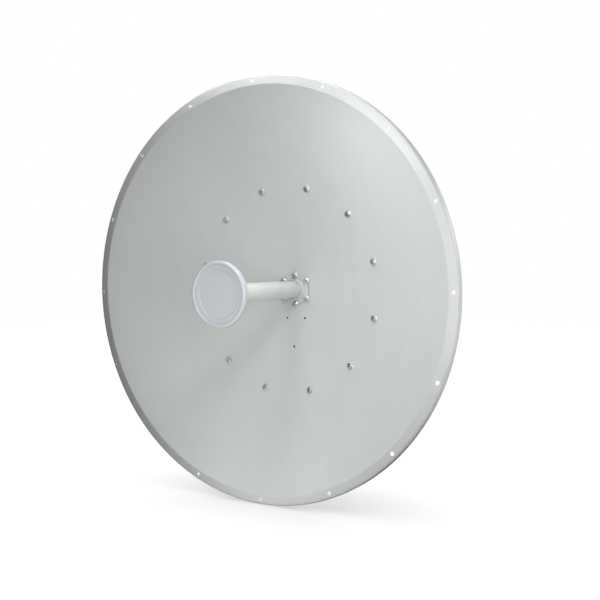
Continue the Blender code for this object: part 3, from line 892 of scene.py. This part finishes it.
# Feed rear: a galvanised backing plate takes the flange bolts' nuts behind the bowl. The
# finned cast housing holds the transducer and carries the two threaded connectors.
BACKING_REAR = -0.0063
BACKING_PLATE = [
    (-0.0023, 0.0550, 0.0008),
    (BACKING_REAR, 0.0550, 0.0008),
    (BACKING_REAR, 0.0245, 0.0006),
    (-0.0023, 0.0245, 0.0006),
]
SCREW_NUT = {
    "Across flats": 0.0070,
    "Height": 0.0034,
    "Chamfer": 0.0004,
    "Washer radius": 0.0046,
    "Washer height": 0.0008,
}
HOUSING_FRONT = -0.0066
HOUSING_REAR = -0.0496
HOUSING_RADIUS = 0.031
HOUSING_GROOVE = 0.0275
HOUSING_FINS = 6
FIN_PITCH = 0.0052
FIN_EDGE = 0.0005
FIRST_GROOVE = -0.0110
GROOVE_WIDTH = 0.0032
GROOVE_DRAFT = 0.0003
GROOVE_ROOT = 0.0008
COVER_SCREW_COUNT = 6
COVER_SCREW_CIRCLE = 0.0225
PAN_SCREW = {
    "Head radius": 0.0029,
    "Head height": 0.0020,
    "Recess width": 0.0009,
    "Recess depth": 0.0012,
}


def galvanised_steel(name, bright, dull):
    """Hot-dip zinc: crystals of different greys, dull runs, and bare bright edges."""
    made, place = coat_shader(name, bright, roughness=0.42, metallic=0.9)
    cells = {"Vector": place, "Scale": 140.0}
    crystals = place.node("ShaderNodeTexVoronoi", None, cells, "Color")
    shine = crystals.node("ShaderNodeSeparateColor", None, {"Color": crystals}, 0)
    runs = noise(place, scale=18.0, detail=4.0)
    worn = worn_edge(place, width=0.0008)
    share = (shine * 0.55 + runs * 0.6) * (1.0 - worn)
    tone = between(share, bright, dull)
    gloss = 0.34 + 0.14 * shine + 0.10 * runs
    return feed_shader(made, tone, gloss, shine, strength=0.05, distance=0.0002)


def casting(name, dark, dusty):
    """Painted die casting: a rough skin, cloudy dust, metal showing at the edges."""
    made, place = coat_shader(name, dark, roughness=0.55, metallic=0.3)
    skin = noise(place, scale=420.0, detail=4.0)
    dust = noise(place, scale=24.0, detail=3.0)
    worn = worn_edge(place, width=0.0009)
    tone = between(dust * 0.5 + worn * 0.4, dark, dusty)
    gloss = 0.48 + 0.16 * dust - 0.12 * worn
    return feed_shader(made, tone, gloss, skin, strength=0.35, distance=0.0006)


def pan_shape(wires):
    """A pan head with a cross recess, cut by two bars."""
    start = wires["Points"]
    radius, height = wires["Head radius"], wires["Head height"]
    shoulder, brow, crown = radius * 0.985, radius * 0.88, radius * 0.62
    parts = [
        drum(start, 28, 0.0, height * 0.45, radius, shoulder),
        drum(start, 28, height * 0.45, height * 0.3, shoulder, brow),
        drum(start, 28, height * 0.75, height * 0.25, brow, crown),
    ]
    head = start.node("GeometryNodeJoinGeometry", None, {0: parts})
    long_side, short_side = radius * 1.1, wires["Recess width"]
    deep = wires["Recess depth"] * 2.0
    bars = []
    for x, y in ((long_side, short_side), (short_side, long_side)):
        size = start.node("ShaderNodeCombineXYZ", None, {"X": x, "Y": y, "Z": deep})
        bar = start.node("GeometryNodeMeshCube", None, {"Size": size})
        lift = start.node("ShaderNodeCombineXYZ", None, {"Z": height})
        bars.append(start.node("GeometryNodeTransform", None, {"Geometry": bar, "Translation": lift}))
    exact = {"operation": "DIFFERENCE", "solver": "EXACT"}
    cut_head = start.node("GeometryNodeMeshBoolean", exact, {"Mesh 1": head, "Mesh 2": bars})
    return standing_on(wires, cut_head)


galvanised = galvanised_steel(
    "galvanised", bright=(0.62, 0.64, 0.66), dull=(0.46, 0.48, 0.50)
)
backing = coated("feed_backing_disc", turned("feed_backing_disc", BACKING_PLATE, 96), galvanised)
put(backing, "galvanised", "feed_backing_plate")
SCREW_NUT["Finish"] = bolt_zinc
screw_nuts = facing_rear(VERTEX_Y - BACKING_REAR, FLANGE_LUGS)
grow_piece("flange_screw_nuts", nut_tree, SCREW_NUT, screw_nuts, "zinc")

housing_outline = [(HOUSING_FRONT, 0.0, 0), (HOUSING_FRONT, HOUSING_RADIUS, 0.0006)]
for fin in range(HOUSING_FINS):
    groove = FIRST_GROOVE - fin * FIN_PITCH
    far_edge = groove - GROOVE_WIDTH
    housing_outline += [
        (groove, HOUSING_RADIUS, FIN_EDGE),
        (groove - GROOVE_DRAFT, HOUSING_GROOVE, GROOVE_ROOT),
        (far_edge + GROOVE_DRAFT, HOUSING_GROOVE, GROOVE_ROOT),
        (far_edge, HOUSING_RADIUS, FIN_EDGE),
    ]
housing_outline += [(HOUSING_REAR, HOUSING_RADIUS, 0.0028), (HOUSING_REAR, 0.0, 0)]
dark_cast = casting("dark_cast", dark=(0.27, 0.28, 0.29), dusty=(0.42, 0.42, 0.40))
housing = coated("finned_feed_housing", turned("finned_feed_housing", housing_outline, 96), dark_cast)
put(housing, "dark_cast", "feed_housing")
cover_spots = []
for index in range(COVER_SCREW_COUNT):
    angle = 2 * math.pi * index / COVER_SCREW_COUNT
    cover_spots.append((COVER_SCREW_CIRCLE * math.sin(angle), COVER_SCREW_CIRCLE * math.cos(angle)))
PAN_SCREW["Finish"] = bolt_zinc
screw_tree = shape_tree("pan_screw", PAN_SCREW, pan_shape)
cover_places = facing_rear(VERTEX_Y - HOUSING_REAR, cover_spots)
grow_piece("cover_screws", screw_tree, PAN_SCREW, cover_places, "zinc")


# Connectors: a washer, a hexagon and a threaded end on each of the housing's two sockets,
# nickel plated. A thread's skin rises and falls once for each turn. Here a corner is
# (behind the housing's rear, out, rounding).
CONNECTOR_SPACING = 0.032
CONNECTOR_NUT = 0.006
CONNECTOR_WASHER = [
    (0.0, 0.0, 0),
    (0.0, 0.0062, 0.0003),
    (0.0010, 0.0062, 0.0002),
    (0.0012, 0.0055, 0),
    (0.0020, 0.0055, 0),
    (0.0020, 0.0, 0),
]
CONNECTOR_HEXAGON = [
    (0.0015, 0.0, 0),
    (0.0015, 0.0058, 0),
    (0.0020, 0.0065, 0),
    (0.0055, 0.0065, 0),
    (CONNECTOR_NUT, 0.0058, 0),
    (CONNECTOR_NUT, 0.0, 0),
]
CONNECTOR_THREAD = {
    "Radius": 0.0045,
    "Length": 0.0117,
    "Pitch": 0.00106,
    "Depth": 0.0005,
    "Steps round": 32,
    "Stations": 96,
}


def thread_shape(wires):
    """A grid rolled to a bar along Z, with its ends drawn in and closed."""
    start = wires["Points"]
    counts = {"Size X": 1.0, "Size Y": 1.0}
    counts["Vertices X"] = wires["Stations"] + 1.0
    counts["Vertices Y"] = wires["Steps round"] + 1.0
    grid = start.node("GeometryNodeMeshGrid", None, counts)
    here = start.node("GeometryNodeInputPosition")
    share = here.node("ShaderNodeSeparateXYZ", None, {0: here}, 0) + 0.5
    round_share = here.node("ShaderNodeSeparateXYZ", None, {0: here}, 1) + 0.5
    turns = share * (wires["Length"] / wires["Pitch"]) + round_share
    flank = turns.math("PINGPONG", turns, 0.5) * 2.0
    to_end = share.math("MINIMUM", share, 1.0 - share) * wires["Stations"]
    closing = to_end.math("MINIMUM", to_end, 1.0)
    shoulder = to_end.math("MINIMUM", to_end / 4.0, 1.0)
    radius = (wires["Radius"] - wires["Depth"] * flank) * (0.85 + 0.15 * shoulder) * closing
    angle = round_share * (2 * math.pi)
    where = {"X": radius * angle.cos(), "Y": radius * angle.sin(), "Z": share * wires["Length"]}
    place = start.node("ShaderNodeCombineXYZ", None, where)
    rolled = start.node("GeometryNodeSetPosition", None, {"Geometry": grid, "Position": place})
    closed = rolled.node("GeometryNodeMergeByDistance", None, {"Geometry": rolled, "Distance": 0.000005})
    return standing_on(wires, closed)


def nickel_plate(name, bright, dull):
    """Bright nickel: a thin haze, fine scratches and polished edges."""
    made, place = coat_shader(name, bright, roughness=0.25, metallic=1.0)
    haze = noise(place, scale=90.0, detail=3.0)
    scratches = noise(place, scale=1600.0, detail=2.0)
    worn = worn_edge(place, width=0.0004)
    tone = between(haze * (1.0 - worn), bright, dull)
    gloss = 0.20 + 0.14 * haze + 0.05 * scratches
    return feed_shader(made, tone, gloss, scratches, strength=0.06, distance=0.0001)


nickel = nickel_plate("nickel", bright=(0.74, 0.72, 0.67), dull=(0.62, 0.60, 0.55))
CONNECTOR_THREAD["Finish"] = nickel
thread_tree = shape_tree("rolled_thread", CONNECTOR_THREAD, thread_shape)
connector_top = HOUSING_REAR - FIT_GAP
washer = [(connector_top - behind, out, edge) for behind, out, edge in CONNECTOR_WASHER]
hexagon = [(connector_top - behind, out, edge) for behind, out, edge in CONNECTOR_HEXAGON]
thread_start = VERTEX_Y - (connector_top - CONNECTOR_NUT)
for side, x in (("left", -CONNECTOR_SPACING / 2), ("right", CONNECTOR_SPACING / 2)):
    prism = turned(f"connector_{side}_nut", hexagon, 6, (x, 0.0))
    body = coated(f"connector_{side}_body", turned("washer", washer, 48, (x, 0.0)), nickel)
    put(coated(f"connector_{side}_hexagon", prism, nickel, 20), "nickel")
    put(body, "nickel")
    grow_piece(
        f"connector_{side}_thread",
        thread_tree,
        CONNECTOR_THREAD,
        facing_rear(thread_start, [(x, 0.0)]),
        "nickel",
        f"rf_connector_{side}",
    )


# Radio bracket: a folded steel shoe on the back of the bowl, where a radio would hang.
SHOE_EDGE = 0.0009


def softened_copy(name, node, edge, finish, angle=30):
    """A node's own solid with its edges rounded, as the pressed or cut plate has them."""
    source = bpy.data.objects[node]
    shape = bmesh.new()
    shape.from_mesh(source.data)
    shape.transform(source.matrix_world)
    bmesh.ops.remove_doubles(shape, verts=shape.verts, dist=0.00002)
    bmesh.ops.dissolve_limit(shape, angle_limit=math.radians(2), verts=shape.verts, edges=shape.edges)
    bmesh.ops.recalc_face_normals(shape, faces=shape.faces)
    return edges_rounded(coated(name, mesh_from(name, shape), finish, angle), edge, angle)


radio = softened_copy("folded_radio_bracket", "radio_bracket", SHOE_EDGE, galvanised)
put(radio, "galvanised", "radio_bracket")


# Rails and crossbars: channels bent from 3 mm sheet and powder coated, their webs behind.
# M8 bolts stand on the rails where they cross the ring, and on the crossbars and feet.
FRAME_SCREW = dict(FRAME_BOLT)
FRAME_SCREW["Shank length"] = 0.012
CHANNEL_EDGE = 0.0011
RAIL_X = 0.090
RAIL_REAR_Y = -0.0607
RING_BOLT_Z = 0.2106
BAR_REAR_Y = -0.0404
BAR_Z = 0.140
WING_FOOT_REAR_Y = -0.0564
FOOT_BOLT_X = 0.0975
FOOT_BOLT_Z = 0.085
for node in ("left_rail", "right_rail", "upper_crossbar", "lower_crossbar"):
    put(softened_copy("folded_" + node, node, CHANNEL_EDGE, dish_coat), "powder_coat", node)

ring_spots = [(x, z) for x in (-RAIL_X, RAIL_X) for z in (-RING_BOLT_Z, RING_BOLT_Z)]
bar_spots = [(x, z) for x in (-RAIL_X, RAIL_X) for z in (-BAR_Z, BAR_Z)]
foot_heights = (-FOOT_BOLT_Z, 0.0, FOOT_BOLT_Z)
foot_spots = [(x, z) for x in (-FOOT_BOLT_X, FOOT_BOLT_X) for z in foot_heights]
mount_places = facing_rear(RAIL_REAR_Y, ring_spots) + facing_rear(BAR_REAR_Y, bar_spots)
mount_places += facing_rear(WING_FOOT_REAR_Y, foot_spots)
grow_piece("mount_bolts", bolt_tree, FRAME_SCREW, mount_places, "zinc")


# Wings and cheeks: laser-cut plates, hot-dip galvanised. A pivot bolt and a bolt in the
# curved slot join each pair, so that the dish can be tilted and locked.
PLATE_EDGE = 0.0008
PIVOT = (-0.030, 0.080)
LOCK = (-0.030, -0.080)
WING_OUTER_X = 0.0825
CHEEK_INNER_X = 0.0725
TILT_BOLT = {
    "Across flats": 0.016,
    "Head height": 0.0080,
    "Chamfer": 0.0010,
    "Flange radius": 0.0105,
    "Flange height": 0.0020,
    "Shank radius": 0.0050,
    "Shank length": 0.0230,
    "Finish": bolt_zinc,
}
TILT_NUT = {
    "Across flats": 0.016,
    "Height": 0.0080,
    "Chamfer": 0.0010,
    "Washer radius": 0.0100,
    "Washer height": 0.0018,
    "Finish": bolt_zinc,
}
for node in ("left_wing", "right_wing", "left_cheek", "right_cheek"):
    put(softened_copy("cut_" + node, node, PLATE_EDGE, galvanised), "galvanised", node)

outward_places = []
inward_places = []
for sign in (-1, 1):
    out = Matrix.Rotation(sign * math.pi / 2, 4, "Y")
    inwards = Matrix.Rotation(-sign * math.pi / 2, 4, "Y")
    for y, z in (PIVOT, LOCK):
        outward_places.append(Matrix.Translation((sign * WING_OUTER_X, y, z)) @ out)
        inward_places.append(Matrix.Translation((sign * CHEEK_INNER_X, y, z)) @ inwards)
grow_piece("tilt_bolts", bolt_tree, TILT_BOLT, outward_places, "zinc")
grow_piece("tilt_nuts", nut_tree, TILT_NUT, inward_places, "zinc")


# Pole bracket and jaws: welded plates with notched horns, and two bent straps that clamp
# them on a mast. Hot-dip galvanised.
bracket = softened_copy("welded_pole_bracket", "pole_bracket", PLATE_EDGE, galvanised)
put(bracket, "galvanised", "pole_bracket")
for node in ("upper_jaw", "lower_jaw"):
    put(softened_copy("bent_" + node, node, PLATE_EDGE, galvanised), "galvanised", node)


# Clamp rods: M10 threaded rods through the bracket and the jaws, and one that sets the
# elevation between the lower crossbar and the bracket's tongue, with their nuts.
CLAMP_ROD = {
    "Radius": 0.0050,
    "Length": 0.132,
    "Pitch": 0.0015,
    "Depth": 0.0007,
    "Steps round": 24,
    "Stations": 528,
    "Finish": bolt_zinc,
}
ELEVATION_ROD = dict(CLAMP_ROD)
ELEVATION_ROD["Length"] = 0.100
ELEVATION_ROD["Stations"] = 400
ROD_SPOTS = {
    "upper_left_rod": (-0.060, 0.075),
    "upper_right_rod": (0.060, 0.075),
    "lower_left_rod": (-0.060, -0.075),
    "lower_right_rod": (0.060, -0.075),
}
ROD_FRONT_Y = -0.028
ELEVATION_SPOT = (0, -BAR_Z)
ELEVATION_FRONT_Y = -0.084
WEB_FRONT_Y = -0.006
WEB_REAR_Y = 0.0
JAW_FRONT_Y = 0.07348
JAW_REAR_Y = 0.07948
BAR_WEB_FRONT_Y = -0.0434
for node, spot in ROD_SPOTS.items():
    here = facing_rear(ROD_FRONT_Y, [spot])
    grow_piece("threaded_" + node, thread_tree, CLAMP_ROD, here, "zinc", node)
elevation_place = facing_rear(ELEVATION_FRONT_Y, [ELEVATION_SPOT])
grow_piece(
    "threaded_elevation_rod", thread_tree, ELEVATION_ROD, elevation_place, "zinc", "elevation_rod"
)

rod_spots = list(ROD_SPOTS.values())
clamp_places = facing_front(WEB_FRONT_Y, rod_spots) + facing_rear(JAW_REAR_Y, rod_spots)
clamp_places += facing_front(JAW_FRONT_Y, rod_spots)
clamp_places += facing_front(WEB_FRONT_Y, [ELEVATION_SPOT])
clamp_places += facing_rear(WEB_REAR_Y, [ELEVATION_SPOT])
clamp_places += facing_rear(BAR_REAR_Y, [ELEVATION_SPOT])
clamp_places += facing_front(BAR_WEB_FRONT_Y, [ELEVATION_SPOT])
grow_piece("clamp_nuts", nut_tree, TILT_NUT, clamp_places, "zinc")
